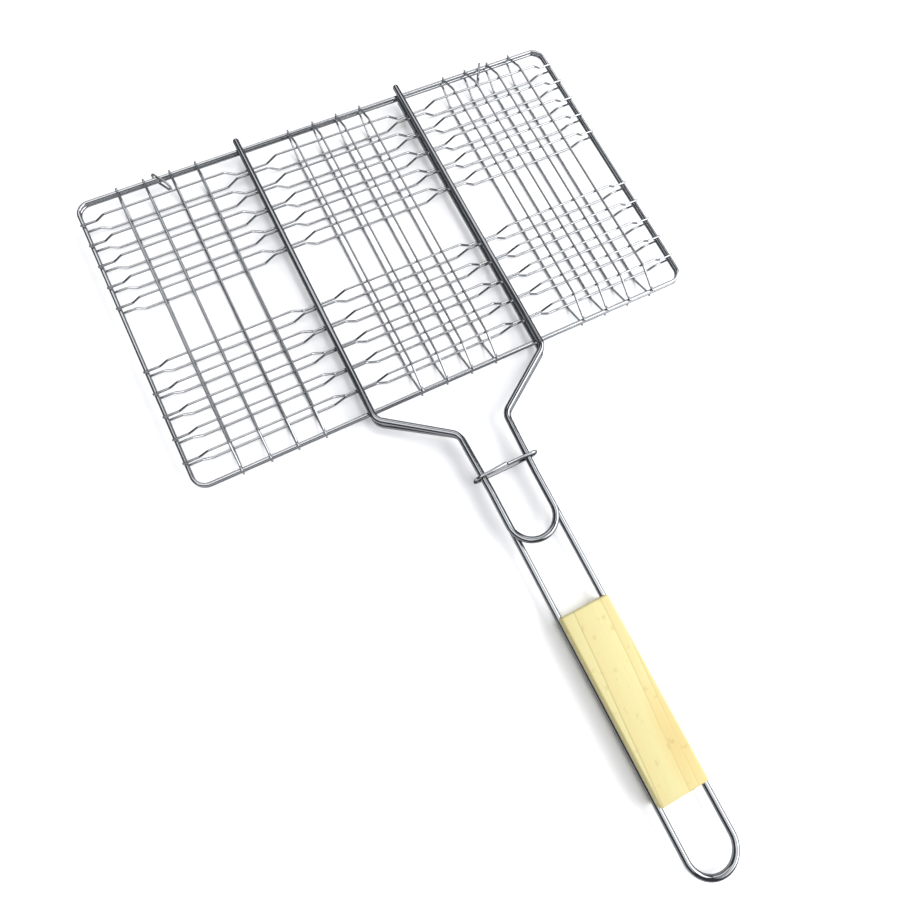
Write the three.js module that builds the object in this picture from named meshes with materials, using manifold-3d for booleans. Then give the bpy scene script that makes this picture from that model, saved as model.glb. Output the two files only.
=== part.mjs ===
// Fish grill basket: two hinged wire halves, a sliding locking ring and a wooden grip.
// Millimetres, +Z up. X runs along the long side, +Y points to the hinged edge and -Y down the handle.
// Heights are measured from the plane where the two closed frames meet.
import * as THREE from 'three';
import Module from 'manifold-3d';
import { mergeVertices } from 'three/addons/utils/BufferGeometryUtils.js';

const wasm = await Module();
wasm.setup();

// Overall size of the grid
const GRID_LENGTH = 382;
const GRID_WIDTH = 231;
const WIRE_OVERHANG = 0.4;

// Wire diameters
const FRAME_WIRE = 2.6;
const ROD_WIRE = 4.6;
const GRID_WIRE = 1.6;
const LOCK_WIRE = 2.4;
const HINGE_WIRE = 1.6;

// Clearance left wherever two pieces touch
const FIT_GAP = 0.3;

// Frames: rounded rectangles lying one on the other
const FRAME_HALF_X = GRID_LENGTH / 2 - WIRE_OVERHANG - FRAME_WIRE / 2;
const FRAME_HALF_Y = GRID_WIDTH / 2 - WIRE_OVERHANG - FRAME_WIRE / 2;
const FRAME_CORNER = 9;
const FRAME_Z = FRAME_WIRE / 2 + FIT_GAP / 2;
const FRAME_TOP = FRAME_Z + FRAME_WIRE / 2;

// Rods: each one is two dividers, a flared neck and a handle loop in a single length
const DIVIDER_SHARE = 0.3442;
const DIVIDER_X = FRAME_HALF_X * DIVIDER_SHARE;
const DIVIDER_Z = FRAME_TOP + FIT_GAP + ROD_WIRE / 2;
const UPPER_TIP_OVERHANG = 5.6;
const UPPER_ROD_SHIFT = -1.7;
const NECK_FROM_FRAME = 6.6;
const NECK_LENGTH = 32.3;
const NECK_BEND = 9;
const NECK_SPREAD = 1.3;
const NECK_START_Y = -FRAME_HALF_Y - NECK_FROM_FRAME;
const NECK_END_Y = NECK_START_Y - NECK_LENGTH;
const RAIL_TAPER_LENGTH = 45.3;
const RAIL_STRAIGHT_Y = NECK_END_Y - RAIL_TAPER_LENGTH;
const RAIL_X = 16.9;
const RAIL_Z = FIT_GAP + ROD_WIRE / 2;
const NECK_END_X = RAIL_X + NECK_SPREAD;

// Cross wires: two groups of five along X, bulged outward over each of the three pockets
const CROSS_PER_GROUP = 5;
const CROSS_PITCH = FRAME_HALF_Y * 0.152;
const CROSS_GROUP_Y = FRAME_HALF_Y * 0.53;
const CROSS_GROUP_SPAN = (CROSS_PER_GROUP - 1) * CROSS_PITCH;
const GRID_END_Z = FRAME_TOP + FIT_GAP + GRID_WIRE / 2;
const CROSS_UNDER_ROD_Z = DIVIDER_Z - ROD_WIRE / 2 - FIT_GAP - GRID_WIRE / 2;
const POCKET_RISE = 4.15;
const CROSS_POCKET_Z = GRID_END_Z + POCKET_RISE;
const END_LANDING = 10;
const END_RAMP = 6;
const ROD_LANDING = 12;
const ROD_RAMP = 8;

// Long wires: four over each pocket along Y, lying outside the cross wires
const LONG_PER_POCKET = 4;
const LONG_PITCH = 19.6;
const SIDE_GROUP_OUTWARD = 3.47;
const LONG_GROUP_X = (DIVIDER_X + FRAME_HALF_X) / 2 + SIDE_GROUP_OUTWARD;
const LONG_SHIFT = 1.2;
const LONG_POCKET_Z = CROSS_POCKET_Z + GRID_WIRE + FIT_GAP;
const LONG_LANDING_Y = FRAME_HALF_Y - 2.4;
const LONG_KNEE_CLEARANCE = 2.3;
const LONG_POCKET_Y = CROSS_GROUP_Y + CROSS_GROUP_SPAN / 2 + LONG_KNEE_CLEARANCE;

// Locking ring: a flat ring bent from one wire, its two ends butting in the top bar
const LOCK_FROM_NECK = 33.6;
const LOCK_SIDE_SLACK = 2.6;
const LOCK_X = -0.8;
const LOCK_Y = NECK_END_Y - LOCK_FROM_NECK;
const LOCK_HALF_WIDTH = RAIL_X + ROD_WIRE / 2 + LOCK_SIDE_SLACK + LOCK_WIRE / 2;
const LOCK_HALF_HEIGHT = RAIL_Z + ROD_WIRE / 2 + FIT_GAP + LOCK_WIRE / 2;
const LOCK_CORNER = 4.2;

// Hinge rings: closed loops round both far frame wires, near the middle of each side pocket
const HINGE_LEFT_X = LONG_SHIFT - LONG_GROUP_X + 1.5;
const HINGE_RIGHT_X = LONG_SHIFT + LONG_GROUP_X + 1.1;
const HINGE_RING_YAW = 30;
const HINGE_HALF_HEIGHT = FRAME_TOP + FIT_GAP + HINGE_WIRE / 2;
const HINGE_OUTSIDE = 4.4;
const HINGE_INSIDE = 9.6;

// Wooden grip: a block with a groove down each side for the lower rails
const GRIP_FROM_NECK = 138.3;
const GRIP_LENGTH = 125;
const GRIP_WIDTH = 35.6;
const GRIP_ABOVE_RAIL = 9.4;
const GRIP_BELOW_RAIL = 7.4;
const GRIP_EDGE = 1.6;
const GRIP_NEAR_Y = NECK_END_Y - GRIP_FROM_NECK - GRIP_LENGTH;

// End loops of the two handles
const LOWER_LOOP_FROM_GRIP = 51.2;
const LOWER_LOOP_END_Y = GRIP_NEAR_Y - LOWER_LOOP_FROM_GRIP;
const UPPER_LOOP_FROM_LOCK = 53.7;
const UPPER_LOOP_END_Y = LOCK_Y - UPPER_LOOP_FROM_LOCK;

// Sides of each wire's section, and knots in each of its bends
const GRID_SIDES = 8;
const GRID_BEND_KNOTS = 2;
const ROD_SIDES = 12;
const ROD_BEND_KNOTS = 5;
const ROD_LOOP_KNOTS = 8;
const LOCK_SIDES = 8;
const LOCK_BEND_KNOTS = 5;

const CHROME = { color: 0xdfe2e5, roughness: 0.12, metalness: 1 };
const WOOD = { color: 0xf3e3a3, roughness: 0.6, metalness: 0 };

const group = new THREE.Group();
group.name = 'grill_basket';

// A wire's centre line, which passes exactly through its knots so that every bend keeps its place.
class KnotPath extends THREE.Curve {
  constructor(knots) {
    super();
    this.knots = knots;
    this.last = knots.length - 1;
  }

  getPoint(t, target = new THREE.Vector3()) {
    return target.copy(this.knots[Math.round(t * this.last)]);
  }

  getPointAt(u, target) {
    return this.getPoint(u, target);
  }

  getTangent(t, target = new THREE.Vector3()) {
    const i = Math.round(t * this.last);
    const before = heading(this.knots[Math.max(i - 1, 0)], this.knots[Math.max(i, 1)]);
    const after = heading(this.knots[Math.min(i, this.last - 1)], this.knots[Math.min(i + 1, this.last)]);
    return target.copy(before).add(after).normalize();
  }

  getTangentAt(u, target) {
    return this.getTangent(u, target);
  }
}

function heading(from, to) {
  return to.clone().sub(from).normalize();
}

function addPiece(name, geometry, finish) {
  const mesh = new THREE.Mesh(geometry, new THREE.MeshStandardMaterial(finish));
  mesh.name = name;
  group.add(mesh);
}

function numbered(name, index) {
  return `${name}_${String(index).padStart(2, '0')}`;
}

// Points of a bend at a corner, by its centre line radius and the number of knots it is given.
function bendKnots(before, corner, after, radius, count) {
  const incoming = heading(before, corner);
  const outgoing = heading(corner, after);
  const turn = incoming.angleTo(outgoing);
  if (count < 2 || turn < 1e-4) {
    return [corner.clone()];
  }
  const setback = radius * Math.tan(turn / 2);
  const start = corner.clone().addScaledVector(incoming, -setback);
  const inward = outgoing.clone().addScaledVector(incoming, -Math.cos(turn)).normalize();
  const knots = [];
  for (let i = 0; i < count; i += 1) {
    const swept = (turn * i) / (count - 1);
    const knot = start.clone();
    knot.addScaledVector(incoming, radius * Math.sin(swept));
    knot.addScaledVector(inward, radius * (1 - Math.cos(swept)));
    knots.push(knot);
  }
  return knots;
}

// Corners are [x, y, z, bend radius, knots]; the two ends need no bend.
function wireKnots(corners) {
  const points = corners.map(([x, y, z]) => new THREE.Vector3(x, y, z));
  const knots = [points[0]];
  for (let i = 1; i < points.length - 1; i += 1) {
    const [, , , radius, count] = corners[i];
    for (const knot of bendKnots(points[i - 1], points[i], points[i + 1], radius, count)) {
      if (knot.distanceTo(knots[knots.length - 1]) > 0.01) {
        knots.push(knot);
      }
    }
  }
  knots.push(points[points.length - 1]);
  return knots;
}

// Round wire as a regular polygon whose flats lie on the true diameter.
function wireSection(diameter, sides) {
  const radius = diameter / 2 / Math.cos(Math.PI / sides);
  const points = [];
  for (let i = 0; i < sides; i += 1) {
    const angle = ((i + 0.5) * 2 * Math.PI) / sides;
    points.push(new THREE.Vector2(radius * Math.cos(angle), radius * Math.sin(angle)));
  }
  return new THREE.Shape(points);
}

function bentWire(corners, diameter, sides) {
  const knots = wireKnots(corners);
  return new THREE.ExtrudeGeometry(wireSection(diameter, sides), {
    steps: knots.length - 1,
    bevelEnabled: false,
    extrudePath: new KnotPath(knots),
  });
}

function roundedRectangle(path, halfX, halfY, corner) {
  path.moveTo(-halfX + corner, -halfY);
  path.lineTo(halfX - corner, -halfY);
  path.absarc(halfX - corner, -halfY + corner, corner, -Math.PI / 2, 0, false);
  path.lineTo(halfX, halfY - corner);
  path.absarc(halfX - corner, halfY - corner, corner, 0, Math.PI / 2, false);
  path.lineTo(-halfX + corner, halfY);
  path.absarc(-halfX + corner, halfY - corner, corner, Math.PI / 2, Math.PI, false);
  path.lineTo(-halfX, -halfY + corner);
  path.absarc(-halfX + corner, -halfY + corner, corner, Math.PI, 1.5 * Math.PI, false);
  return path;
}

// Endless wire bent to a rounded rectangle and butt welded, lying flat on z = 0.
function closedWire(halfX, halfY, corner, diameter, arcSteps) {
  const radius = diameter / 2;
  const chamfer = radius * (1 - Math.tan(Math.PI / 8));
  const outline = roundedRectangle(new THREE.Shape(), halfX + radius, halfY + radius, corner + radius);
  outline.holes.push(roundedRectangle(new THREE.Path(), halfX - radius, halfY - radius, corner - radius));
  const geometry = new THREE.ExtrudeGeometry(outline, {
    depth: diameter - 2 * chamfer,
    curveSegments: arcSteps,
    bevelEnabled: true,
    bevelThickness: chamfer,
    bevelSize: chamfer,
    bevelOffset: -chamfer,
    bevelSegments: 1,
  });
  geometry.translate(0, 0, chamfer - radius);
  return geometry;
}

function frame(side) {
  const geometry = closedWire(FRAME_HALF_X, FRAME_HALF_Y, FRAME_CORNER, FRAME_WIRE, 4);
  geometry.translate(0, 0, side * FRAME_Z);
  return geometry;
}

// Divider, neck, rail, end loop and back again, in one rod. The side is +1 for the upper half.
function handleRod(side, tipY, shiftX, loopEndY) {
  const halfPath = [
    [DIVIDER_X, tipY, side * DIVIDER_Z],
    [DIVIDER_X, NECK_START_Y, side * DIVIDER_Z, NECK_BEND, ROD_BEND_KNOTS],
    [NECK_END_X, NECK_END_Y, side * RAIL_Z, NECK_BEND, ROD_BEND_KNOTS],
    [RAIL_X, RAIL_STRAIGHT_Y, side * RAIL_Z, 0, 1],
    [RAIL_X, loopEndY, side * RAIL_Z, RAIL_X, ROD_LOOP_KNOTS],
  ];
  const otherHalf = halfPath.map(([x, ...rest]) => [-x, ...rest]).reverse();
  const geometry = bentWire([...halfPath, ...otherHalf], ROD_WIRE, ROD_SIDES);
  geometry.translate(shiftX, 0, 0);
  return geometry;
}

function crossWire(side, y) {
  const endZ = side * GRID_END_Z;
  const pocketZ = side * CROSS_POCKET_Z;
  const rodZ = side * CROSS_UNDER_ROD_Z;
  const landingX = FRAME_HALF_X - END_LANDING;
  const bend = (x, z) => [x, y, z, 3, GRID_BEND_KNOTS];
  const rightHalf = [
    bend(DIVIDER_X - ROD_LANDING - ROD_RAMP, pocketZ),
    bend(DIVIDER_X - ROD_LANDING, rodZ),
    bend(DIVIDER_X + ROD_LANDING, rodZ),
    bend(DIVIDER_X + ROD_LANDING + ROD_RAMP, pocketZ),
    bend(landingX - END_RAMP, pocketZ),
    bend(landingX, endZ),
    [GRID_LENGTH / 2, y, endZ],
  ];
  const leftHalf = rightHalf.map(([x, ...rest]) => [-x, ...rest]).reverse();
  return bentWire([...leftHalf, ...rightHalf], GRID_WIRE, GRID_SIDES);
}

function longWire(side, x) {
  const endZ = side * GRID_END_Z;
  const pocketZ = side * LONG_POCKET_Z;
  const bend = (y, z) => [x, y, z, 6, GRID_BEND_KNOTS];
  return bentWire([
    [x, -GRID_WIDTH / 2, endZ],
    bend(-LONG_LANDING_Y, endZ),
    bend(-LONG_POCKET_Y, pocketZ),
    bend(LONG_POCKET_Y, pocketZ),
    bend(LONG_LANDING_Y, endZ),
    [x, GRID_WIDTH / 2, endZ],
  ], GRID_WIRE, GRID_SIDES);
}

function addCrossWires(name, side) {
  let index = 1;
  for (const groupY of [CROSS_GROUP_Y, -CROSS_GROUP_Y]) {
    for (let i = 0; i < CROSS_PER_GROUP; i += 1) {
      const y = groupY + CROSS_GROUP_SPAN / 2 - i * CROSS_PITCH;
      addPiece(numbered(name, index), crossWire(side, y), CHROME);
      index += 1;
    }
  }
}

function addLongWires(name, side) {
  const span = (LONG_PER_POCKET - 1) * LONG_PITCH;
  let index = 1;
  for (const groupX of [-LONG_GROUP_X, 0, LONG_GROUP_X]) {
    for (let i = 0; i < LONG_PER_POCKET; i += 1) {
      const x = groupX + LONG_SHIFT - span / 2 + i * LONG_PITCH;
      addPiece(numbered(name, index), longWire(side, x), CHROME);
      index += 1;
    }
  }
}

// Flat ring in the XZ plane round all four rails, open by one gap in the middle of its top bar.
function lockingRing() {
  const bend = (x, z) => [x, LOCK_Y, z, LOCK_CORNER, LOCK_BEND_KNOTS];
  const geometry = bentWire([
    [FIT_GAP / 2, LOCK_Y, LOCK_HALF_HEIGHT],
    bend(LOCK_HALF_WIDTH, LOCK_HALF_HEIGHT),
    bend(LOCK_HALF_WIDTH, -LOCK_HALF_HEIGHT),
    bend(-LOCK_HALF_WIDTH, -LOCK_HALF_HEIGHT),
    bend(-LOCK_HALF_WIDTH, LOCK_HALF_HEIGHT),
    [-FIT_GAP / 2, LOCK_Y, LOCK_HALF_HEIGHT],
  ], LOCK_WIRE, LOCK_SIDES);
  geometry.translate(LOCK_X, 0, 0);
  return geometry;
}

// The ring stands on edge, its inner end turned towards the middle of the basket.
function hingeRing(centreX) {
  const yaw = THREE.MathUtils.degToRad(HINGE_RING_YAW) * Math.sign(centreX);
  const halfLength = (HINGE_OUTSIDE + HINGE_INSIDE) / 2 / Math.cos(yaw);
  const centreY = FRAME_HALF_Y + (HINGE_OUTSIDE - HINGE_INSIDE) / 2;
  const geometry = closedWire(halfLength, HINGE_HALF_HEIGHT, HINGE_HALF_HEIGHT - 0.2, HINGE_WIRE, 3);
  geometry.rotateX(Math.PI / 2);
  geometry.rotateZ(Math.PI / 2 - yaw);
  geometry.translate(centreX, centreY, 0);
  return geometry;
}

// Solids are added and cut as closed manifolds and come back as plain geometry.
function toSolid(geometry) {
  geometry.deleteAttribute('normal');
  geometry.deleteAttribute('uv');
  const merged = mergeVertices(geometry);
  return new wasm.Manifold(new wasm.Mesh({
    numProp: 3,
    vertProperties: new Float32Array(merged.attributes.position.array),
    triVerts: new Uint32Array(merged.index.array),
  }));
}

function toGeometry(solid) {
  const mesh = solid.getMesh();
  const geometry = new THREE.BufferGeometry();
  geometry.setAttribute('position', new THREE.BufferAttribute(new Float32Array(mesh.vertProperties), 3));
  geometry.setIndex(new THREE.BufferAttribute(new Uint32Array(mesh.triVerts), 1));
  geometry.computeVertexNormals();
  return geometry;
}

function easedBlock(sizeX, sizeY, depth, edge) {
  const halfX = sizeX / 2;
  const halfY = sizeY / 2;
  const outline = new THREE.Shape();
  roundedRectangle(outline, halfX, halfY, edge);
  const geometry = new THREE.ExtrudeGeometry(outline, { depth, curveSegments: 2, bevelEnabled: false });
  geometry.translate(0, 0, -depth / 2);
  return geometry;
}

function woodenGrip() {
  const height = GRIP_ABOVE_RAIL + GRIP_BELOW_RAIL;
  const centreZ = -RAIL_Z + (GRIP_ABOVE_RAIL - GRIP_BELOW_RAIL) / 2;
  const centreY = GRIP_NEAR_Y + GRIP_LENGTH / 2;
  const endView = easedBlock(GRIP_WIDTH, height, GRIP_LENGTH, GRIP_EDGE);
  endView.rotateX(Math.PI / 2);
  const sideView = easedBlock(height, GRIP_LENGTH, GRIP_WIDTH, GRIP_EDGE);
  sideView.rotateY(Math.PI / 2);
  const topView = easedBlock(GRIP_WIDTH, GRIP_LENGTH, height, GRIP_EDGE);
  let solid = toSolid(endView).intersect(toSolid(sideView)).intersect(toSolid(topView));
  for (const side of [-1, 1]) {
    const grooveRadius = (ROD_WIRE / 2 + FIT_GAP) / Math.cos(Math.PI / 16);
    const groove = new THREE.CylinderGeometry(grooveRadius, grooveRadius, GRIP_LENGTH + 4, 16);
    groove.translate(side * RAIL_X, 0, -RAIL_Z - centreZ);
    solid = solid.subtract(toSolid(groove));
  }
  const geometry = toGeometry(solid);
  geometry.translate(0, centreY, centreZ);
  return geometry;
}

addPiece('lower_frame', frame(-1), CHROME);
addPiece('upper_frame', frame(1), CHROME);

const frameEdgeY = FRAME_HALF_Y + FRAME_WIRE / 2;
const upperTipY = frameEdgeY + UPPER_TIP_OVERHANG;
addPiece('lower_handle_rod', handleRod(-1, frameEdgeY, 0, LOWER_LOOP_END_Y), CHROME);
addPiece('upper_handle_rod', handleRod(1, upperTipY, UPPER_ROD_SHIFT, UPPER_LOOP_END_Y), CHROME);

addCrossWires('lower_cross_wire', -1);
addCrossWires('upper_cross_wire', 1);
addLongWires('lower_long_wire', -1);
addLongWires('upper_long_wire', 1);

addPiece('wooden_grip', woodenGrip(), WOOD);
addPiece('locking_ring', lockingRing(), CHROME);
addPiece('hinge_ring_left', hingeRing(HINGE_LEFT_X), CHROME);
addPiece('hinge_ring_right', hingeRing(HINGE_RIGHT_X), CHROME);

// The part stands on z = 0 with the middle of its overall box over the origin.
const box = new THREE.Box3().setFromObject(group);
const middle = box.getCenter(new THREE.Vector3());
for (const mesh of group.children) {
  mesh.geometry.translate(-middle.x, -middle.y, -box.min.z);
}

export default group;
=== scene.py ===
# %% [markdown]
# # Fish grill basket
# The object is a hinged wire basket for grilling fish: two chromed wire halves, thick rods that run on
# into a handle, a sliding locking ring and a wooden grip. Almost all of it is bent wire, so one small
# tree of Geometry Nodes, which sweeps a round section along a bent path, makes nearly every piece.
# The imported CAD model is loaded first. It is the fixed frame that every piece here is fitted to.

import math
import random

import bpy
from mathutils import Matrix, Vector


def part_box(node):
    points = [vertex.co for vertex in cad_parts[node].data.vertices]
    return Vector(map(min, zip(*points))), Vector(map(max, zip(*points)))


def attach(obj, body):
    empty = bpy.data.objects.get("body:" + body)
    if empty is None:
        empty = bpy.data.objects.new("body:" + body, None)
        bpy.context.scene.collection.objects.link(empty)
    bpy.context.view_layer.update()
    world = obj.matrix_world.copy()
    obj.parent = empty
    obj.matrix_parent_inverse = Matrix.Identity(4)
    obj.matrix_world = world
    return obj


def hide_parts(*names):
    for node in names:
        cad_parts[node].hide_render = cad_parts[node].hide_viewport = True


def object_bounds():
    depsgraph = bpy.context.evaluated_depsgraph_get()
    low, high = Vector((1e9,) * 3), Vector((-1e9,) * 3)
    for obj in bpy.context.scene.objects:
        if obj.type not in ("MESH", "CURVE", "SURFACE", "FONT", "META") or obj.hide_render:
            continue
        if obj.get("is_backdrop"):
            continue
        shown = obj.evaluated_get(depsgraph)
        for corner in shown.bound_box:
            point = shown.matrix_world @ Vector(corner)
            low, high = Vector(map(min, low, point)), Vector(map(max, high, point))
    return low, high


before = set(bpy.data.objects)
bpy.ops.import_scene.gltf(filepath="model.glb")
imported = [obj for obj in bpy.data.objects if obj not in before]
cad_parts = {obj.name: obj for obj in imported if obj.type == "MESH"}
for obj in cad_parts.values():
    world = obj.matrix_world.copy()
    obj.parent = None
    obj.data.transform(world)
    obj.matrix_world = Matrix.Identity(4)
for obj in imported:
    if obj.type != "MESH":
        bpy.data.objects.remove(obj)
cad_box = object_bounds()
scene = bpy.context.scene
print("CAD nodes:", len(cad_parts))

# %% [markdown]
# ## Where the basket lies
# Wire workers measure a basket from the middle of its frame and from the plane where the two halves
# meet. The same two places are read from the CAD here, and `place` turns millimetres measured from
# them into Blender's metres. All the lengths below can then be read like a workshop drawing.

# %% Middle of the frame and the parting plane
MM = 0.001
lower_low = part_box("lower_frame")[0]
upper_low, upper_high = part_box("upper_frame")
frame_middle = (lower_low + upper_high) / 2


def place(x, y, z):
    """A point in millimetres from the frame's middle and the parting plane, in metres."""
    return frame_middle + Vector((x, y, z)) * MM


frame_length = (upper_high.x - upper_low.x) / MM
frame_width = (upper_high.y - upper_low.y) / MM
print(f"frame {frame_length:.1f} x {frame_width:.1f} mm, parting plane {frame_middle.z / MM:.2f} mm up")

# %% [markdown]
# ## Two helpers for node trees
# Both geometry and materials are made of nodes. `add_node` adds any node in one call: `options` are the
# choices in the node's body, `values` are typed into its sockets, and `links` are wires from other nodes.
# `linear` turns an ordinary hex colour, as a paint chart gives it, into the linear light Blender counts in.

# %% Node and colour helpers
def add_node(tree, kind, options=None, values=None, links=None):
    node = tree.nodes.new(kind)
    for name, value in (options or {}).items():
        setattr(node, name, value)
    for socket, value in (values or {}).items():
        node.inputs[socket].default_value = value
    for socket, output in (links or {}).items():
        tree.links.new(output, node.inputs[socket])
    return node


def linear(hex_colour):
    """sRGB hex to linear red, green, blue and a full alpha."""
    channels = [int(hex_colour[i:i + 2], 16) / 255 for i in (1, 3, 5)]
    return [c / 12.92 if c <= 0.04045 else ((c + 0.055) / 1.055) ** 2.4 for c in channels] + [1.0]


print("mid grey is", [round(c, 3) for c in linear("#808080")])

# %% [markdown]
# ## Chrome plating
# All the metal is steel wire with bright nickel-chrome plating. Chrome has hardly a colour of its own: it
# is a slightly blue-grey mirror, and its look is the room's. What makes it real is what isn't perfect. Small
# waves bend the reflections, and thin wire, plated by the basket-load on a rack, comes out a little duller
# than the thick rods. So one function makes four grades of one plating, the dullest of them for the welds.
# The waves are bump, since no eye sees their height, and the haze is a change of roughness. The tints are
# set for this white table and are darker than those of real chrome.

# %% Chrome material
# What the metal returns at a glancing angle: much darker than real chrome. This is painted shade: a fine dark
# line runs along both sides of a wire, standing in for the dark reflections there, and shows it on a white
# table.
PAINTED_EDGE_SHADE_TINT = "#4E5054"
CLOUD_MM = 9


def chrome(name, tint, hazy_tint, roughness, haze, wave_mm, wave_height_mm):
    """Bright plating: `haze` is added to the roughness in cloudy patches, and waves are bump."""
    material = bpy.data.materials.new(name)
    material.use_nodes = True
    tree = material.node_tree
    tree.nodes.clear()
    place_in = add_node(tree, "ShaderNodeTexCoord").outputs["Object"]
    clouds = add_node(tree, "ShaderNodeTexNoise",
                      values={"Scale": 1 / (CLOUD_MM * MM), "Detail": 3.0, "Roughness": 0.6},
                      links={"Vector": place_in})
    waves = add_node(tree, "ShaderNodeTexNoise",
                     values={"Scale": 1 / (wave_mm * MM), "Detail": 2.0, "Roughness": 0.5},
                     links={"Vector": place_in})
    colour = add_node(tree, "ShaderNodeMix", options={"data_type": "RGBA"},
                      links={0: clouds.outputs["Fac"]})
    colour.inputs[6].default_value = linear(tint)
    colour.inputs[7].default_value = linear(hazy_tint)
    rough = add_node(tree, "ShaderNodeMapRange",
                     values={"From Min": 0.35, "From Max": 0.7,
                             "To Min": roughness, "To Max": roughness + haze},
                     links={"Value": clouds.outputs["Fac"]})
    bump = add_node(tree, "ShaderNodeBump",
                    values={"Strength": 1.0, "Distance": wave_height_mm * MM},
                    links={"Height": waves.outputs["Fac"]})
    # The Specular Tint paints the dark edge line: painted shade along both sides of the wire.
    shader = add_node(tree, "ShaderNodeBsdfPrincipled",
                      values={"Metallic": 1.0, "Specular Tint": linear(PAINTED_EDGE_SHADE_TINT)},
                      links={"Base Color": colour.outputs[2], "Roughness": rough.outputs["Result"],
                             "Normal": bump.outputs["Normal"]})
    add_node(tree, "ShaderNodeOutputMaterial", links={"Surface": shader.outputs["BSDF"]})
    return material


# Thin wire: the plating follows the drawn steel, so it is a satin-bright grey rather than a mirror. It has
# the lightest tint of the four.
grid_chrome = chrome("chrome_plated_drawn_steel_wire", "#A6A8AA", "#929497", 0.13, 0.10, 3.0, 0.02)
# Frame and ring wire: thicker and better covered, so its reflections are sharper. Its tint is a little
# darker than the thin wire's.
frame_chrome = chrome("chrome_plated_bent_steel_wire", "#A0A2A4", "#8E9093", 0.07, 0.06, 4.0, 0.02)
# Thick rod: smooth steel under the plating, so it is nearly a mirror, with only long soft waves. A mirror
# shows the white table as well as the lamps, so the tint is the darkest of the three wires.
rod_chrome = chrome("chrome_plated_polished_steel_rod", "#898B8E", "#7B7D80", 0.04, 0.04, 7.0, 0.03)
# Weld nuggets: the squeezed-out steel is rough under the plating, so it takes the light dully.
weld_chrome = chrome("chrome_plated_spot_weld", "#8E9092", "#77797C", 0.28, 0.15, 0.5, 0.06)
print("chrome grades:", [m.name for m in (grid_chrome, frame_chrome, rod_chrome, weld_chrome)])

# %% [markdown]
# ## A bent wire from Geometry Nodes
# A wire is drawn as a path of straight lines with a bend radius at each corner, just as the bending
# machine is set. The tree turns the path into a curve, rounds every corner with Fillet Curve, and sweeps a
# circle along it. Two numbers are stored on the path's points: `bend`, the radius at that corner, and
# `thickness`, which drops just before a cut end, because a cropped wire has a softly broken edge.
# A curve with a bevel would do the sweep too, but it can't give each corner its own radius.

# %% Geometry Nodes tree: bent wire
def new_tree(name, inputs):
    """A geometry tree with named inputs, given as (name, socket type, default or None)."""
    tree = bpy.data.node_groups.new(name, "GeometryNodeTree")
    tree.interface.new_socket("Geometry", in_out="INPUT", socket_type="NodeSocketGeometry")
    tree.interface.new_socket("Geometry", in_out="OUTPUT", socket_type="NodeSocketGeometry")
    for label, kind, default in inputs:
        socket = tree.interface.new_socket(label, in_out="INPUT", socket_type=kind)
        if default is not None:
            socket.default_value = default
    return tree


wire_tree = new_tree("bent_wire", [
    ("Diameter", "NodeSocketFloat", 1.6 * MM),
    ("Sides", "NodeSocketInt", 16),
    ("Bend Steps", "NodeSocketInt", 6),
    ("Finish", "NodeSocketMaterial", None),
])


def sweep_wire(tree, path, given):
    """The nodes that turn path edges into a round wire; `given` holds the tree's input sockets."""
    curve = add_node(tree, "GeometryNodeMeshToCurve", links={"Mesh": path})
    bend = add_node(tree, "GeometryNodeInputNamedAttribute", values={"Name": "bend"})
    rounded = add_node(tree, "GeometryNodeFilletCurve", options={"mode": "POLY"},
                       values={"Limit Radius": True},
                       links={"Curve": curve.outputs["Curve"], "Count": given["Bend Steps"],
                              "Radius": bend.outputs["Attribute"]})
    radius = add_node(tree, "ShaderNodeMath", options={"operation": "MULTIPLY"},
                      values={1: 0.5}, links={0: given["Diameter"]})
    section = add_node(tree, "GeometryNodeCurvePrimitiveCircle",
                       links={"Resolution": given["Sides"], "Radius": radius.outputs["Value"]})
    thickness = add_node(tree, "GeometryNodeInputNamedAttribute", values={"Name": "thickness"})
    swept = add_node(tree, "GeometryNodeCurveToMesh", values={"Fill Caps": True},
                     links={"Curve": rounded.outputs["Curve"], "Profile Curve": section.outputs["Curve"],
                            "Scale": thickness.outputs["Attribute"]})
    tidy = add_node(tree, "GeometryNodeMergeByDistance", values={"Distance": 0.001 * MM},
                    links={"Geometry": swept.outputs["Mesh"]})
    angle = add_node(tree, "GeometryNodeInputMeshEdgeAngle")
    crease = add_node(tree, "FunctionNodeCompare", options={"operation": "GREATER_THAN"},
                      values={1: math.radians(50)}, links={0: angle.outputs["Unsigned Angle"]})
    smooth = add_node(tree, "GeometryNodeSetShadeSmooth", values={"Shade Smooth": True},
                      links={"Geometry": tidy.outputs["Geometry"]})
    edges = add_node(tree, "GeometryNodeSetShadeSmooth", options={"domain": "EDGE"},
                     values={"Shade Smooth": False},
                     links={"Geometry": smooth.outputs["Geometry"], "Selection": crease.outputs["Result"]})
    return edges.outputs["Geometry"]


def close_tree(tree, shape, finish):
    """Real geometry and its material come last, because instances are lost on export."""
    real = add_node(tree, "GeometryNodeRealizeInstances", links={"Geometry": shape})
    dressed = add_node(tree, "GeometryNodeSetMaterial",
                       links={"Geometry": real.outputs["Geometry"], "Material": finish})
    add_node(tree, "NodeGroupOutput", links={"Geometry": dressed.outputs["Geometry"]})


wire_inputs = add_node(wire_tree, "NodeGroupInput").outputs
close_tree(wire_tree, sweep_wire(wire_tree, wire_inputs["Geometry"], wire_inputs), wire_inputs["Finish"])
print("bent wire tree:", len(wire_tree.nodes), "nodes")

# %% [markdown]
# ## From a path to a finished piece
# `path_mesh` stores one or more paths as plain edges. `finish_piece` lets a tree work on such a mesh once,
# keeps the result as an ordinary mesh, and throws the helper object away. The settings are written to the
# modifier by each socket's identifier before anything is evaluated, since names are only labels.

# %% Path and piece helpers
# Steps from a cut end in wire diameters, and the thickness share there.
TIP = [(0.00, 0.62), (0.10, 0.86), (0.26, 1.0)]


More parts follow.
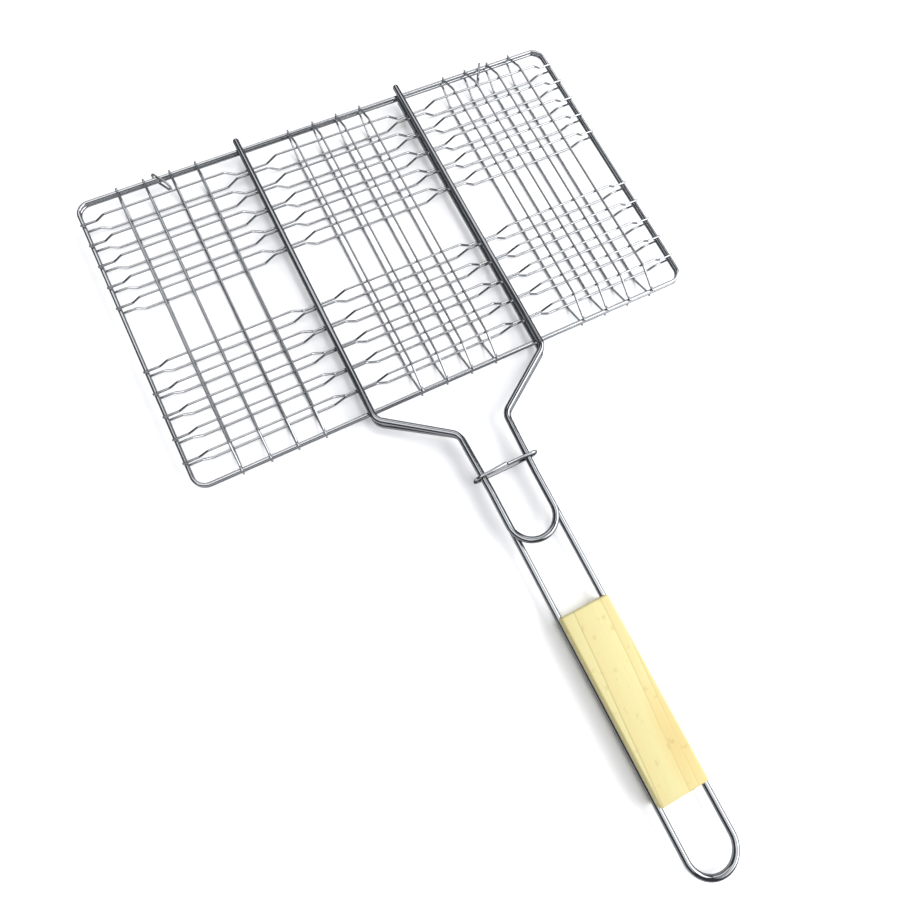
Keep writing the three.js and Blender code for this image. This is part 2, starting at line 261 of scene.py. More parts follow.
def with_tips(points, diameter):
    """Adds the broken edge of a cropped wire: short steps along the wire and how thick it is at each."""
    ends = []
    for tip, inner in ((points[0], points[1]), (points[-1], points[-2])):
        start = Vector(tip[:3])
        along = (Vector(inner[:3]) - start).normalized()
        ends.append([(*(start + along * diameter * step), 0.0, share) for step, share in TIP])
    middle = [(*p[:3], p[3], 1.0) for p in points[1:-1]]
    return ends[0] + middle + ends[1][::-1]


def path_mesh(name, paths):
    """`paths` holds (points, closed); a point is x, y, z, bend radius and thickness share, in metres."""
    corners, edges, bends, thicknesses = [], [], [], []
    for points, closed in paths:
        first = len(corners)
        for x, y, z, bend, share in points:
            corners.append((x, y, z))
            bends.append(bend)
            thicknesses.append(share)
        edges += [(i, i + 1) for i in range(first, len(corners) - 1)]
        if closed:
            edges.append((len(corners) - 1, first))
    mesh = bpy.data.meshes.new(name)
    mesh.from_pydata(corners, edges, [])
    mesh.attributes.new("bend", "FLOAT", "POINT").data.foreach_set("value", bends)
    mesh.attributes.new("thickness", "FLOAT", "POINT").data.foreach_set("value", thicknesses)
    return mesh


def finish_piece(name, mesh, tree, settings):
    """Runs the tree on the mesh once and keeps what it makes as a plain object."""
    helper = bpy.data.objects.new(name + "_path", mesh)
    scene.collection.objects.link(helper)
    modifier = helper.modifiers.new("nodes", "NODES")
    modifier.node_group = tree
    for socket in tree.interface.items_tree:
        if socket.in_out == "INPUT" and socket.name in settings:
            modifier[socket.identifier] = settings[socket.name]
    bpy.context.view_layer.update()
    evaluated = helper.evaluated_get(bpy.context.evaluated_depsgraph_get())
    made = bpy.data.meshes.new_from_object(evaluated)
    bpy.data.objects.remove(helper)
    # The loose points bring an empty material slot of their own, so only the finish is kept.
    made.materials.clear()
    made.materials.append(settings["Finish"])
    made.polygons.foreach_set("material_index", [0] * len(made.polygons))
    piece = bpy.data.objects.new(name, made)
    scene.collection.objects.link(piece)
    print(f"{name}: {len(made.polygons)} faces in {settings['Finish'].name}")
    return piece


def hand_over(piece, body, nodes):
    """Ties a finished piece to its body and hides the CAD nodes it stands for."""
    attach(piece, body)
    if nodes:
        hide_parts(*nodes)


# %% [markdown]
# ## The two frames
# Each half has a frame of 2.6 mm wire, bent to a rectangle with round corners and butt welded into an
# endless loop. A closed path with four corners is all it takes. The size comes from the CAD frame's box.

# %% Frames
FRAME_WIRE = 2.6
FRAME_CORNER = 9.0

half_x = (frame_length - FRAME_WIRE) / 2
half_y = (frame_width - FRAME_WIRE) / 2
HALVES = {"lower": -1, "upper": 1}

for half, side in HALVES.items():
    low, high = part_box(f"{half}_frame")
    z = ((low.z + high.z) / 2 - frame_middle.z) / MM
    corners = [(half_x, half_y), (-half_x, half_y), (-half_x, -half_y), (half_x, -half_y)]
    loop = [(*place(x, y, z), FRAME_CORNER * MM, 1.0) for x, y in corners]
    piece = finish_piece(f"{half}_frame_loop", path_mesh(f"{half}_frame_path", [(loop, True)]), wire_tree,
                         {"Diameter": FRAME_WIRE * MM, "Sides": 24, "Bend Steps": 12, "Finish": frame_chrome})
    hand_over(piece, f"{half}_half", [f"{half}_frame"])

# %% [markdown]
# ## The two handle rods
# One 4.6 mm rod makes the two dividers that stiffen a half, draws together in a flared neck, and runs on as
# two rails that meet in a loop. The lower one is the long handle; the upper one ends in a short loop that
# the locking ring slides over. Half of the path is written down and mirrored, so both sides always agree.

# %% Handle rods
ROD_WIRE = 4.6
DIVIDER_X = 65.15
DIVIDER_Z = 5.35
NECK_START_Y = -120.4
NECK_END_Y = -152.7
NECK_END_X = 18.2
NECK_BEND = 9.0
RAIL_STRAIGHT_Y = -198.0
RAIL_BEND = 60
RAIL_X = 16.9
RAIL_Z = 2.6
# The end loop is a hair under a full half circle, so that its two bends don't run into each other.
LOOP_SLACK = 0.05

for half, side in HALVES.items():
    low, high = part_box(f"{half}_handle_rod")
    shift = ((low.x + high.x) / 2 - frame_middle.x) / MM
    tip_y = (high.y - frame_middle.y) / MM
    loop_end_y = (low.y - frame_middle.y) / MM + ROD_WIRE / 2
    right = [
        (DIVIDER_X, tip_y, DIVIDER_Z, 0),
        (DIVIDER_X, NECK_START_Y, DIVIDER_Z, NECK_BEND),
        (NECK_END_X, NECK_END_Y, RAIL_Z, NECK_BEND),
        (RAIL_X, RAIL_STRAIGHT_Y, RAIL_Z, RAIL_BEND),
        (RAIL_X, loop_end_y, RAIL_Z, RAIL_X - LOOP_SLACK),
    ]
    whole = right + [(-x, y, z, bend) for x, y, z, bend in reversed(right)]
    points = [(*place(x + shift, y, side * z), bend * MM) for x, y, z, bend in whole]
    path = path_mesh(f"{half}_rod_path", [(with_tips(points, ROD_WIRE * MM), False)])
    piece = finish_piece(f"{half}_rod", path, wire_tree,
                         {"Diameter": ROD_WIRE * MM, "Sides": 40, "Bend Steps": 16, "Finish": rod_chrome})
    hand_over(piece, f"{half}_half", [f"{half}_handle_rod"])

# %% [markdown]
# ## Rows of thin wires
# The grids are 1.6 mm wire, all bent alike on one jig. The natural way is one path and a row of points: the
# tree bends the wire once, and Instance on Points sets a copy on each point. No real row is perfect, since
# each wire is laid by hand before welding, so every point carries a small `stray` sideways and a small
# `lean`. They come from a seeded generator, so that the basket is the same each time it is made.

# %% Geometry Nodes tree: row of wires
row_tree = new_tree("wire_row", [
    ("Wire Path", "NodeSocketObject", None),
    ("Diameter", "NodeSocketFloat", 1.6 * MM),
    ("Sides", "NodeSocketInt", 12),
    ("Bend Steps", "NodeSocketInt", 6),
    ("Finish", "NodeSocketMaterial", None),
])
row_inputs = add_node(row_tree, "NodeGroupInput").outputs
jig = add_node(row_tree, "GeometryNodeObjectInfo", links={"Object": row_inputs["Wire Path"]})
one_wire = sweep_wire(row_tree, jig.outputs["Geometry"], row_inputs)
lean = add_node(row_tree, "GeometryNodeInputNamedAttribute", values={"Name": "lean"})
turned = add_node(row_tree, "ShaderNodeCombineXYZ", links={"Z": lean.outputs["Attribute"]})
wires = add_node(row_tree, "GeometryNodeInstanceOnPoints",
                 links={"Points": row_inputs["Geometry"], "Instance": one_wire,
                        "Rotation": turned.outputs["Vector"]})
close_tree(row_tree, wires.outputs["Instances"], row_inputs["Finish"])
print("wire row tree:", len(row_tree.nodes), "nodes")

# %% [markdown]
# Where each wire lies is read from its CAD node: its row position is the middle of its box. The hand-laid
# deviations stay under half a millimetre, which is what a welding jig allows.

# %% Read the rows and give them their deviations
GRID_WIRE = 1.6
STRAY = 0.3
LEAN = math.radians(0.10)
hands = random.Random(7)


def read_row(node_stem, count, axis):
    """Position along the row, in millimetres from the frame's middle, with a stray and a lean for each."""
    row = []
    for i in range(1, count + 1):
        low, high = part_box(f"{node_stem}_{i:02d}")
        at = ((low[axis] + high[axis]) / 2 - frame_middle[axis]) / MM
        row.append((at + hands.uniform(-STRAY, STRAY), hands.uniform(-LEAN, LEAN)))
    return row


cross_rows = {half: read_row(f"{half}_cross_wire", 10, 1) for half in HALVES}
long_rows = {half: read_row(f"{half}_long_wire", 12, 0) for half in HALVES}
print("upper cross wires at", [round(at, 1) for at, _ in cross_rows["upper"]])
print("upper long wires at", [round(at, 1) for at, _ in long_rows["upper"]])


def row_mesh(name, places, leans):
    """One loose point for each wire of a row, with its lean stored on it."""
    mesh = bpy.data.meshes.new(name)
    mesh.from_pydata(places, [], [])
    mesh.attributes.new("lean", "FLOAT", "POINT").data.foreach_set("value", leans)
    return mesh


def jig_object(name, points):
    """The path of one wire of a row, drawn about the origin and kept out of the picture."""
    mesh = path_mesh(name, [(with_tips(points, GRID_WIRE * MM), False)])
    jig_path = bpy.data.objects.new(name, mesh)
    scene.collection.objects.link(jig_path)
    return jig_path


# %% [markdown]
# ## Cross wires
# Ten cross wires run along each half in two groups of five. Each starts on the frame, rises over a pocket,
# dips under a divider rod, and so on over three pockets, which leave room for the fish's belly. The knees
# are tight because they are pressed in a die, so their bend radius is only 3 mm.

# %% Cross wires
FRAME_TOP = 2.75
GRID_END_Z = 3.85
CROSS_POCKET_Z = 8.0
CROSS_UNDER_ROD_Z = 1.95
END_LANDING = 10.0
END_RAMP = 6.0
ROD_LANDING = 12.0
ROD_RAMP = 8.0
CROSS_KNEE = 3.0

for half, side in HALVES.items():
    low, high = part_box(f"{half}_cross_wire_01")
    wire_half = (high.x - low.x) / 2 / MM
    landing = half_x - END_LANDING
    right = [
        (DIVIDER_X - ROD_LANDING - ROD_RAMP, CROSS_POCKET_Z),
        (DIVIDER_X - ROD_LANDING, CROSS_UNDER_ROD_Z),
        (DIVIDER_X + ROD_LANDING, CROSS_UNDER_ROD_Z),
        (DIVIDER_X + ROD_LANDING + ROD_RAMP, CROSS_POCKET_Z),
        (landing - END_RAMP, CROSS_POCKET_Z),
        (landing, GRID_END_Z),
        (wire_half, GRID_END_Z),
    ]
    whole = [(-x, z) for x, z in reversed(right)] + right
    points = [(x * MM, 0.0, side * z * MM, CROSS_KNEE * MM) for x, z in whole]
    jig_path = jig_object(f"{half}_cross_jig", points)
    row = row_mesh(f"{half}_cross_row", [place(0, at, 0) for at, _ in cross_rows[half]],
                   [lean for _, lean in cross_rows[half]])
    piece = finish_piece(f"{half}_cross_wires", row, row_tree,
                         {"Wire Path": jig_path, "Diameter": GRID_WIRE * MM, "Sides": 12, "Bend Steps": 5,
                          "Finish": grid_chrome})
    bpy.data.objects.remove(jig_path)
    hand_over(piece, f"{half}_half", [f"{half}_cross_wire_{i:02d}" for i in range(1, 11)])

# %% [markdown]
# ## Long wires
# Four wires lie across each pocket, outside the cross wires, and end on the frame. They have only two
# knees at each end and a softer bend. The same row tree makes them, with the path turned along Y.

# %% Long wires
LONG_POCKET_Z = 9.9
LONG_KNEE = 6.0
LONG_LANDING_Y = 111.4
LONG_POCKET_Y = 97.2

for half, side in HALVES.items():
    low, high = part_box(f"{half}_long_wire_01")
    wire_half = (high.y - low.y) / 2 / MM
    far = [(LONG_POCKET_Y, LONG_POCKET_Z), (LONG_LANDING_Y, GRID_END_Z), (wire_half, GRID_END_Z)]
    whole = [(-y, z) for y, z in reversed(far)] + far
    points = [(0.0, y * MM, side * z * MM, LONG_KNEE * MM) for y, z in whole]
    jig_path = jig_object(f"{half}_long_jig", points)
    row = row_mesh(f"{half}_long_row", [place(at, 0, 0) for at, _ in long_rows[half]],
                   [lean for _, lean in long_rows[half]])
    piece = finish_piece(f"{half}_long_wires", row, row_tree,
                         {"Wire Path": jig_path, "Diameter": GRID_WIRE * MM, "Sides": 12, "Bend Steps": 5,
                          "Finish": grid_chrome})
    bpy.data.objects.remove(jig_path)
    hand_over(piece, f"{half}_half", [f"{half}_long_wire_{i:02d}" for i in range(1, 13)])

# %% [markdown]
# ## Spot welds
# Where two wires cross they are pressed together between electrodes and melt into each other, and a little
# steel is squeezed out round the joint. Each half has nearly two hundred such nuggets. One flattened bead
# of a few dozen faces, set on a point at every crossing, is enough. Each point carries its own size.

# %% Geometry Nodes tree: weld beads
weld_tree = new_tree("weld_beads", [
    ("Bead Flatness", "NodeSocketFloat", 0.5),
    ("Finish", "NodeSocketMaterial", None),
])
weld_inputs = add_node(weld_tree, "NodeGroupInput").outputs
bead = add_node(weld_tree, "GeometryNodeMeshUVSphere", values={"Segments": 10, "Rings": 6, "Radius": 1.0})
rounded_bead = add_node(weld_tree, "GeometryNodeSetShadeSmooth", values={"Shade Smooth": True},
                        links={"Geometry": bead.outputs["Mesh"]})
bead_size = add_node(weld_tree, "GeometryNodeInputNamedAttribute", values={"Name": "bead_radius"})
bead_height = add_node(weld_tree, "ShaderNodeMath", options={"operation": "MULTIPLY"},
                       links={0: bead_size.outputs["Attribute"], 1: weld_inputs["Bead Flatness"]})
bead_scale = add_node(weld_tree, "ShaderNodeCombineXYZ",
                      links={"X": bead_size.outputs["Attribute"], "Y": bead_size.outputs["Attribute"],
                             "Z": bead_height.outputs["Value"]})
beads = add_node(weld_tree, "GeometryNodeInstanceOnPoints",
                 links={"Points": weld_inputs["Geometry"], "Instance": rounded_bead.outputs["Geometry"],
                        "Scale": bead_scale.outputs["Vector"]})
close_tree(weld_tree, beads.outputs["Instances"], weld_inputs["Finish"])

# %% [markdown]
# The crossings are worked out from the same rows, strays and leans as the wires, so that every bead sits
# exactly where two wires touch, half way up the small gap that the CAD leaves between them.

# %% Weld beads
FIT_GAP = 0.3
THIN_BEAD = 1.05
FRAME_BEAD = 1.15
ROD_BEAD = 1.5
BEAD_FLATNESS = 0.5
SMALLEST_BEAD, LARGEST_BEAD = 0.85, 1.1


def weld_points(half):
    """Every crossing of one half: x, y and height in millimetres, and the bead's radius."""
    points = []
    rod_low, rod_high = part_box(f"{half}_handle_rod")
    rod_shift = ((rod_low.x + rod_high.x) / 2 - frame_middle.x) / MM
    on_frame = FRAME_TOP + FIT_GAP / 2
    for cross_at, cross_lean in cross_rows[half]:
        for long_at, long_lean in long_rows[half]:
            x = long_at - long_lean * cross_at
            between_wires = CROSS_POCKET_Z + (GRID_WIRE + FIT_GAP) / 2
            points.append((x, cross_at + cross_lean * x, between_wires, THIN_BEAD))
        for x in (rod_shift - DIVIDER_X, rod_shift + DIVIDER_X):
            under_rod = DIVIDER_Z - (ROD_WIRE + FIT_GAP) / 2
            points.append((x, cross_at + cross_lean * x, under_rod, THIN_BEAD))
        for x in (-half_x, half_x):
            points.append((x, cross_at + cross_lean * x, on_frame, FRAME_BEAD))
    for long_at, long_lean in long_rows[half]:
        for y in (-half_y, half_y):
            points.append((long_at - long_lean * y, y, on_frame, FRAME_BEAD))
    for x in (rod_shift - DIVIDER_X, rod_shift + DIVIDER_X):
        for y in (-half_y, half_y):
            points.append((x, y, on_frame, ROD_BEAD))
    return points


for half, side in HALVES.items():
    points = weld_points(half)
    mesh = bpy.data.meshes.new(f"{half}_weld_points")
    mesh.from_pydata([place(x, y, side * z) for x, y, z, _ in points], [], [])
    sizes = [radius * hands.uniform(SMALLEST_BEAD, LARGEST_BEAD) * MM for _, _, _, radius in points]
    mesh.attributes.new("bead_radius", "FLOAT", "POINT").data.foreach_set("value", sizes)
    piece = finish_piece(f"{half}_spot_welds", mesh, weld_tree,
                         {"Bead Flatness": BEAD_FLATNESS, "Finish": weld_chrome})
    hand_over(piece, f"{half}_half", [])
    print(f"{half} half has {len(points)} welds")

# %% [markdown]
# ## The locking ring
# A flat ring of 2.4 mm wire goes round all four rails and slides along them. It is bent by hand tools from
# one length, and its ends only butt in the middle of the top bar: one end stands a little higher and
# further along than the other. That small step is what tells the eye that it is a bent wire.

# %% Locking ring
LOCK_WIRE = 2.4
LOCK_CORNER = 4.2
BUTT_GAP = 0.3
BUTT_STEP = 0.9
BUTT_RISE = 0.5
# The raised end leaves the top bar at this share of its half width, in a soft bend.
RAISED_FROM = 0.62
RAISED_BEND = 12
RAISED_STEP = 0.1

ring_low, ring_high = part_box("locking_ring")
ring_middle = (ring_low + ring_high) / 2
ring_half_width = (ring_high.x - ring_low.x) / 2 / MM - LOCK_WIRE / 2
ring_half_height = (ring_high.z - ring_low.z) / 2 / MM - LOCK_WIRE / 2


def on_ring(x, z, bend, step=0.0):
    return (*(ring_middle + Vector((x, step, z)) * MM), bend * MM)


ring_path = [
    on_ring(BUTT_GAP / 2, ring_half_height, 0),
    on_ring(ring_half_width, ring_half_height, LOCK_CORNER),
    on_ring(ring_half_width, -ring_half_height, LOCK_CORNER),
    on_ring(-ring_half_width, -ring_half_height, LOCK_CORNER),
    on_ring(-ring_half_width, ring_half_height, LOCK_CORNER),
    on_ring(-ring_half_width * RAISED_FROM, ring_half_height, RAISED_BEND, RAISED_STEP),
    on_ring(-BUTT_GAP / 2, ring_half_height + BUTT_RISE, 0, BUTT_STEP),
]
piece = finish_piece("sliding_ring", path_mesh("ring_path", [(with_tips(ring_path, LOCK_WIRE * MM), False)]),
                     wire_tree, {"Diameter": LOCK_WIRE * MM, "Sides": 24, "Bend Steps": 12,
                                 "Finish": frame_chrome})
hand_over(piece, "locking_ring_body", ["locking_ring"])

# %% [markdown]
# ## The hinge rings
# The hinge is as simple as a hinge can be: two small closed rings round both frame wires. They hang with
# plenty of slack, so each one lies at its own angle with its inner end turned towards the middle.

# %% Hinge rings
HINGE_WIRE = 1.6
HINGE_YAW = math.radians(30)
HINGE_BEND_SHARE = 0.95

for name in ("left", "right"):
    low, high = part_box(f"hinge_ring_{name}")
    middle = (low + high) / 2
    yaw = HINGE_YAW * math.copysign(1, middle.x)
    along = Vector((math.sin(yaw), math.cos(yaw), 0.0))
    reach = (high.y - low.y) / 2 / math.cos(yaw) - HINGE_WIRE * MM / 2
    rise = (high.z - low.z) / 2 - HINGE_WIRE * MM / 2
    loop = []
    for u, w in ((1, 1), (-1, 1), (-1, -1), (1, -1)):
        corner = middle + along * reach * u + Vector((0, 0, rise * w))
        loop.append((*corner, rise * HINGE_BEND_SHARE, 1.0))
    piece = finish_piece(f"hinge_loop_{name}", path_mesh(f"hinge_path_{name}", [(loop, True)]), wire_tree,
                         {"Diameter": HINGE_WIRE * MM, "Sides": 16, "Bend Steps": 10, "Finish": grid_chrome})
    hand_over(piece, f"hinge_ring_{name}_body", [f"hinge_ring_{name}"])

# %% [markdown]
# ## Pale wood for the grip
# The grip is plain sanded softwood, close to pine, left unvarnished. Its growth lines were cut at a few
# degrees to the block, so they wander slowly from one side to the other: thin darker lines, each with a
# warmer tone after it that fades to pale yellow. Fibres run along the block, some 0.5 mm apart, and hands and
# tools leave small tan smudges. All of it is worked out in the block's own space, so that top, sides and ends
# agree like one piece of wood.

# %% Wood material
RING_TILT = math.radians(-24)
GRAIN_SLOPE = math.radians(-3.7)
WAVER_ACROSS_MM, WAVER_ALONG_MM = 22, 90
WAVER_SWAY_MM = 2.2
FIBRE_ACROSS_MM, FIBRE_ALONG_MM = 0.5, 40
SMUDGE_SPACING_MM = 6


def pale_wood(centre):
    material = bpy.data.materials.new("sanded_unvarnished_pine")
    material.use_nodes = True
    tree = material.node_tree
    tree.nodes.clear()
    place_in = add_node(tree, "ShaderNodeTexCoord").outputs["Object"]
    # The Mapping node centres the pattern on the block and turns it by the slope of the grain.
    centred = add_node(tree, "ShaderNodeMapping", options={"vector_type": "TEXTURE"},
                       values={"Location": centre, "Rotation": (0.0, RING_TILT, GRAIN_SLOPE)},
                       links={"Vector": place_in})
    # Growth lines waver by a millimetre or so over the length of the block.
    waver_scale = (1 / (WAVER_ACROSS_MM * MM), 1 / (WAVER_ALONG_MM * MM), 1 / (WAVER_ACROSS_MM * MM))
    waver = add_node(tree, "ShaderNodeMapping", values={"Scale": waver_scale},
                     links={"Vector": centred.outputs["Vector"]})
    waver_noise = add_node(tree, "ShaderNodeTexNoise", values={"Scale": 1.0, "Detail": 2.0},
                           links={"Vector": waver.outputs["Vector"]})
    across = add_node(tree, "ShaderNodeSeparateXYZ", links={"Vector": centred.outputs["Vector"]})
    sway = add_node(tree, "ShaderNodeMath", options={"operation": "MULTIPLY_ADD"},
                    values={1: WAVER_SWAY_MM * MM},
                    links={0: waver_noise.outputs["Fac"], 2: across.outputs["X"]})
    # Distance across the block, from 25 mm left of its middle to 25 mm right of it, as 0 to 1.
    ring_place = add_node(tree, "ShaderNodeMapRange",
                          values={"From Min": -25 * MM, "From Max": 25 * MM},
                          links={"Value": sway.outputs["Value"]})
    rings = add_node(tree, "ShaderNodeValToRGB", links={"Fac": ring_place.outputs["Result"]})
    tones = [
        (0.00, "#C2B985"), (0.10, "#C5BD88"), (0.115, "#AFA36F"), (0.125, "#C4B882"),
        (0.355, "#C7BF8C"), (0.366, "#A79B69"), (0.376, "#C6B984"), (0.55, "#C5BC88"),
        (0.722, "#C7BE8A"), (0.730, "#ACA16D"), (0.740, "#C4B680"), (0.845, "#C5BB87"),
        (0.853, "#AFA370"), (0.863, "#C3B47D"), (1.00, "#C2B780"),
    ]
    ramp = rings.color_ramp
    while len(ramp.elements) < len(tones):
        ramp.elements.new(0.5)
    for element, (position, tone) in zip(ramp.elements, tones):
        element.position = position
        element.color = linear(tone)
    fibre_scale = (1 / (FIBRE_ACROSS_MM * MM), 1 / (FIBRE_ALONG_MM * MM), 1 / (FIBRE_ACROSS_MM * MM))
    fibre_space = add_node(tree, "ShaderNodeMapping", values={"Scale": fibre_scale},
                           links={"Vector": centred.outputs["Vector"]})
    fibres = add_node(tree, "ShaderNodeTexNoise", values={"Scale": 1.0, "Detail": 3.0, "Roughness": 0.6},
                      links={"Vector": fibre_space.outputs["Vector"]})
    fibre_shade = add_node(tree, "ShaderNodeMapRange",
                           values={"From Min": 0.3, "From Max": 0.75, "To Min": 0.0, "To Max": 0.16},
                           links={"Value": fibres.outputs["Fac"]})
    fibred = add_node(tree, "ShaderNodeMix", options={"data_type": "RGBA"},
                      links={0: fibre_shade.outputs["Result"], 6: rings.outputs["Color"]})
    fibred.inputs[7].default_value = linear("#A9955C")
    # One warmer, darker patch of colour, some 24 mm wide and 84 mm long, lies near the hand end on the right.
    warm_space = add_node(tree, "ShaderNodeMapping", options={"vector_type": "TEXTURE"},
                          values={"Location": (14 * MM, -32 * MM, 0.0),
                                  "Scale": (12 * MM, 42 * MM, 30 * MM)},
                          links={"Vector": centred.outputs["Vector"]})
    warm_patch = add_node(tree, "ShaderNodeTexGradient", options={"gradient_type": "SPHERICAL"},
                          links={"Vector": warm_space.outputs["Vector"]})
    warm_share = add_node(tree, "ShaderNodeMapRange",
                          values={"From Min": 0.0, "From Max": 0.8, "To Min": 0.0, "To Max": 0.75},
                          links={"Value": warm_patch.outputs["Fac"]})
    warmed = add_node(tree, "ShaderNodeMix", options={"data_type": "RGBA"},
                      links={0: warm_share.outputs["Result"], 6: fibred.outputs[2]})
    warmed.inputs[7].default_value = linear("#BEA86D")
    # Smudges are 2 to 4 mm, few and faint.
    smudge_noise = add_node(tree, "ShaderNodeTexNoise",
                            values={"Scale": 1 / (SMUDGE_SPACING_MM * MM), "Detail": 2.0},
                            links={"Vector": centred.outputs["Vector"]})
    smudge_share = add_node(tree, "ShaderNodeMapRange",
                            values={"From Min": 0.62, "From Max": 0.78, "To Min": 0.0, "To Max": 0.35},
                            links={"Value": smudge_noise.outputs["Fac"]})
    smudged = add_node(tree, "ShaderNodeMix", options={"data_type": "RGBA"},
                       links={0: smudge_share.outputs["Result"], 6: warmed.outputs[2]})
    smudged.inputs[7].default_value = linear("#937B49")
    roughness = add_node(tree, "ShaderNodeMapRange", values={"To Min": 0.5, "To Max": 0.72},
                         links={"Value": fibres.outputs["Fac"]})
    bump = add_node(tree, "ShaderNodeBump", values={"Strength": 0.6, "Distance": 0.08 * MM},
                    links={"Height": fibres.outputs["Fac"]})
    shader = add_node(tree, "ShaderNodeBsdfPrincipled", values={"IOR": 1.5, "Specular IOR Level": 0.35},
                      links={"Base Color": smudged.outputs[2], "Roughness": roughness.outputs["Result"],
                             "Normal": bump.outputs["Normal"]})
    add_node(tree, "ShaderNodeOutputMaterial", links={"Surface": shader.outputs["BSDF"]})
    return material


grip_low, grip_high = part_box("wooden_grip")
grip_middle = (grip_low + grip_high) / 2
grip_wood = pale_wood(grip_middle)
print("grip size", [round(v / MM, 1) for v in grip_high - grip_low], "mm")

# %% [markdown]
# ## The wooden grip
# The block has a groove along each side, into which the two lower rails are sprung, so the rails stand a
# little proud of the wood. Its outline in end view is written as a function of how far the edge is eased,
# and a few such outlines, each a little smaller towards the ends, are joined like the ribs of a boat.
# That keeps the grooves true while the end edges are rounded, which a Bevel modifier would not.

# %% Wooden grip
GROOVE_RADIUS = 2.55
EDGE_RADIUS = 1.7
END_EASE = 1.1
EDGE_STEPS = 4
GROOVE_STEPS = 14


def grip_outline(ease):
    """End view of the block, anticlockwise in X and Z, in millimetres from the rails' level."""
    side = (grip_high.x - grip_low.x) / 2 / MM - ease
    rail_level = frame_middle.z - RAIL_Z * MM
    top = (grip_high.z - rail_level) / MM - ease
    bottom = (grip_low.z - rail_level) / MM + ease
    corner = EDGE_RADIUS - ease
    mouth = math.acos((side - RAIL_X) / GROOVE_RADIUS)
    right = []
    for i in range(EDGE_STEPS + 1):
        turn = math.radians(-90 + 90 * i / EDGE_STEPS)
        right.append((side - corner + corner * math.cos(turn), bottom + corner + corner * math.sin(turn)))
    for i in range(GROOVE_STEPS + 1):
        turn = -mouth - (2 * math.pi - 2 * mouth) * i / GROOVE_STEPS
        right.append((RAIL_X + GROOVE_RADIUS * math.cos(turn), GROOVE_RADIUS * math.sin(turn)))
    for i in range(EDGE_STEPS + 1):
        turn = math.radians(90 * i / EDGE_STEPS)
        right.append((side - corner + corner * math.cos(turn), top - corner + corner * math.sin(turn)))
    return right + [(-x, z) for x, z in reversed(right)]


def grip_mesh():
    ribs = []
    for i in range(EDGE_STEPS + 1):
        turn = math.radians(90 * i / EDGE_STEPS)
        ribs.append((END_EASE * (1 - math.sin(turn)), END_EASE * (1 - math.cos(turn))))
    length = (grip_high.y - grip_low.y) / MM
    sections = list(ribs)
    sections += [(0.0, length * share) for share in (0.25, 0.5, 0.75)]
    sections += [(ease, length - along) for ease, along in reversed(ribs)]
    corners, faces = [], []
    for ease, along in sections:
        for x, z in grip_outline(ease):
            corners.append((x * MM, grip_low.y + along * MM, frame_middle.z + (z - RAIL_Z) * MM))
    count = len(grip_outline(0.0))
    for s in range(len(sections) - 1):
        for i in range(count):
            j = (i + 1) % count
            faces.append((s * count + i, (s + 1) * count + i, (s + 1) * count + j, s * count + j))
    faces.append(tuple(range(count)))
    faces.append(tuple(reversed(range((len(sections) - 1) * count, len(sections) * count))))
    mesh = bpy.data.meshes.new("grip_block")
    mesh.from_pydata(corners, [], faces)
    mesh.update()
    return mesh


block = grip_mesh()
for polygon in block.polygons:
    polygon.use_smooth = True
block.set_sharp_from_angle(angle=math.radians(32))
block.materials.append(grip_wood)
grip = bpy.data.objects.new("grip_block", block)
scene.collection.objects.link(grip)
hand_over(grip, "lower_half", ["wooden_grip"])
print("grip block:", len(block.polygons), "faces")

# %% [markdown]
# ## Floor, light and camera
# The basket lies on a plain white table in a dim grey room. A big soft light stands low to its right, a
# weaker one stands beyond its far edge, and a panel hangs overhead. Chrome shows exactly that: a pale core
# from the panel, bright streaks from the lamps and dark lines from the room between them. An evenly bright
# room would turn it to grey plastic.

# %% Floor
FLOOR_REACH = 6.0
FLOOR_GAP = 0.2 * MM
FLOOR_CLOUDS_PER_METRE = 12.0

floor_material = bpy.data.materials.new("matt_white_laminate")
floor_material.use_nodes = True
floor_tree = floor_material.node_tree
floor_shader = floor_tree.nodes["Principled BSDF"]
floor_shader.inputs["Roughness"].default_value = 0.75
floor_shader.inputs["Specular IOR Level"].default_value = 0.2
floor_place = add_node(floor_tree, "ShaderNodeTexCoord").outputs["Object"]
floor_noise = add_node(floor_tree, "ShaderNodeTexNoise",
                       values={"Scale": FLOOR_CLOUDS_PER_METRE, "Detail": 2.0},
                       links={"Vector": floor_place})
floor_mix = add_node(floor_tree, "ShaderNodeMix", options={"data_type": "RGBA"},
                     links={0: floor_noise.outputs["Fac"]})
floor_mix.inputs[6].default_value = linear("#F4F4F5")
floor_mix.inputs[7].default_value = linear("#F1F1F3")
floor_tree.links.new(floor_mix.outputs[2], floor_shader.inputs["Base Color"])

floor_mesh = bpy.data.meshes.new("floor")
floor_mesh.from_pydata([(-FLOOR_REACH, -FLOOR_REACH, 0), (FLOOR_REACH, -FLOOR_REACH, 0),
                        (FLOOR_REACH, FLOOR_REACH, 0), (-FLOOR_REACH, FLOOR_REACH, 0)],
                       [], [(0, 1, 2, 3)])
floor = bpy.data.objects.new("floor", floor_mesh)
floor.location.z = cad_box[0][2] - FLOOR_GAP
floor_mesh.materials.append(floor_material)
scene.collection.objects.link(floor)
floor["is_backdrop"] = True

# %% Lights
ROOM_STRENGTH = 0.26
LAMP_DISTANCE = 4.0

world = bpy.data.worlds.new("dim_room")
scene.world = world
world.use_nodes = True
world.node_tree.nodes["Background"].inputs["Color"].default_value = linear("#C8CCD2")
world.node_tree.nodes["Background"].inputs["Strength"].default_value = ROOM_STRENGTH


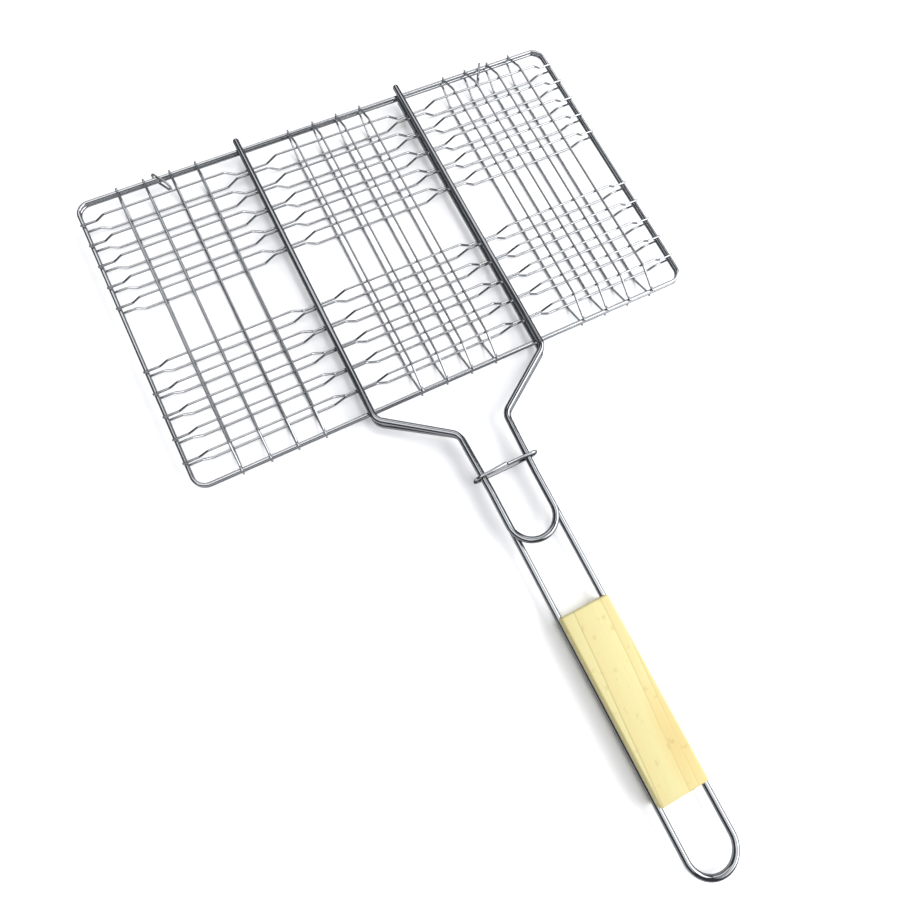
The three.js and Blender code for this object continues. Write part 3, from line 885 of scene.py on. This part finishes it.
def soft_light(name, size, power, direction):
    """A rectangular soft light that faces the middle of the table; size in metres, power in watts."""
    lamp = bpy.data.lights.new(name, "AREA")
    lamp.shape = "RECTANGLE"
    lamp.size, lamp.size_y = size
    lamp.energy = power
    light = bpy.data.objects.new(name, lamp)
    light.location = Vector(direction).normalized() * LAMP_DISTANCE
    light.rotation_euler = Vector(direction).to_track_quat("Z", "Y").to_euler()
    scene.collection.objects.link(light)


soft_light("key_right", (4.6, 3.4), 290, (0.887, -0.452, 0.75))
soft_light("fill_far", (4.0, 3.0), 80, (0.41, 0.87, 0.9))
soft_light("panel_above", (3.2, 3.2), 88, (-0.12, -0.1, 1.0))

# %% [markdown]
# The camera looks steeply down from above the near left part of the grid. It is set by the place it stands,
# the point it looks at and the direction on the table that points up in the picture, which is clearer than
# three turning angles.

# %% Camera
camera_place = Vector((-0.1308, -0.0921, 0.4795))
look_at = Vector((-0.0279, 0.0093, 0.0107))
PICTURE_UP = math.radians(63.01)
LENS_MM = 28.67
SENSOR_MM = 36.0

ahead = (look_at - camera_place).normalized()
table_up = Vector((math.cos(PICTURE_UP), math.sin(PICTURE_UP), 0.0))
up = (table_up - ahead * table_up.dot(ahead)).normalized()
right_hand = ahead.cross(up)
lens = bpy.data.cameras.new("camera")
lens.sensor_width = SENSOR_MM
lens.lens = LENS_MM
lens.clip_start = 0.01
lens.clip_end = 50.0
camera = bpy.data.objects.new("camera", lens)
turned_to = Matrix((right_hand, up, -ahead)).transposed().to_4x4()
camera.matrix_world = Matrix.Translation(camera_place) @ turned_to
scene.collection.objects.link(camera)
scene.camera = camera
scene.view_settings.view_transform = "Standard"
print("camera looks", [round(v, 3) for v in ahead])

# %% [markdown]
# ## Check the size
# Blender must not change the object's size, so the box of the CAD model and the box of the finished pieces
# are printed side by side.

# %% Print the sizes
visual_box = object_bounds()
sizes = {"cad": [list(map(float, corner)) for corner in cad_box],
         "visual": [list(map(float, corner)) for corner in visual_box]}
print("sizes", sizes)
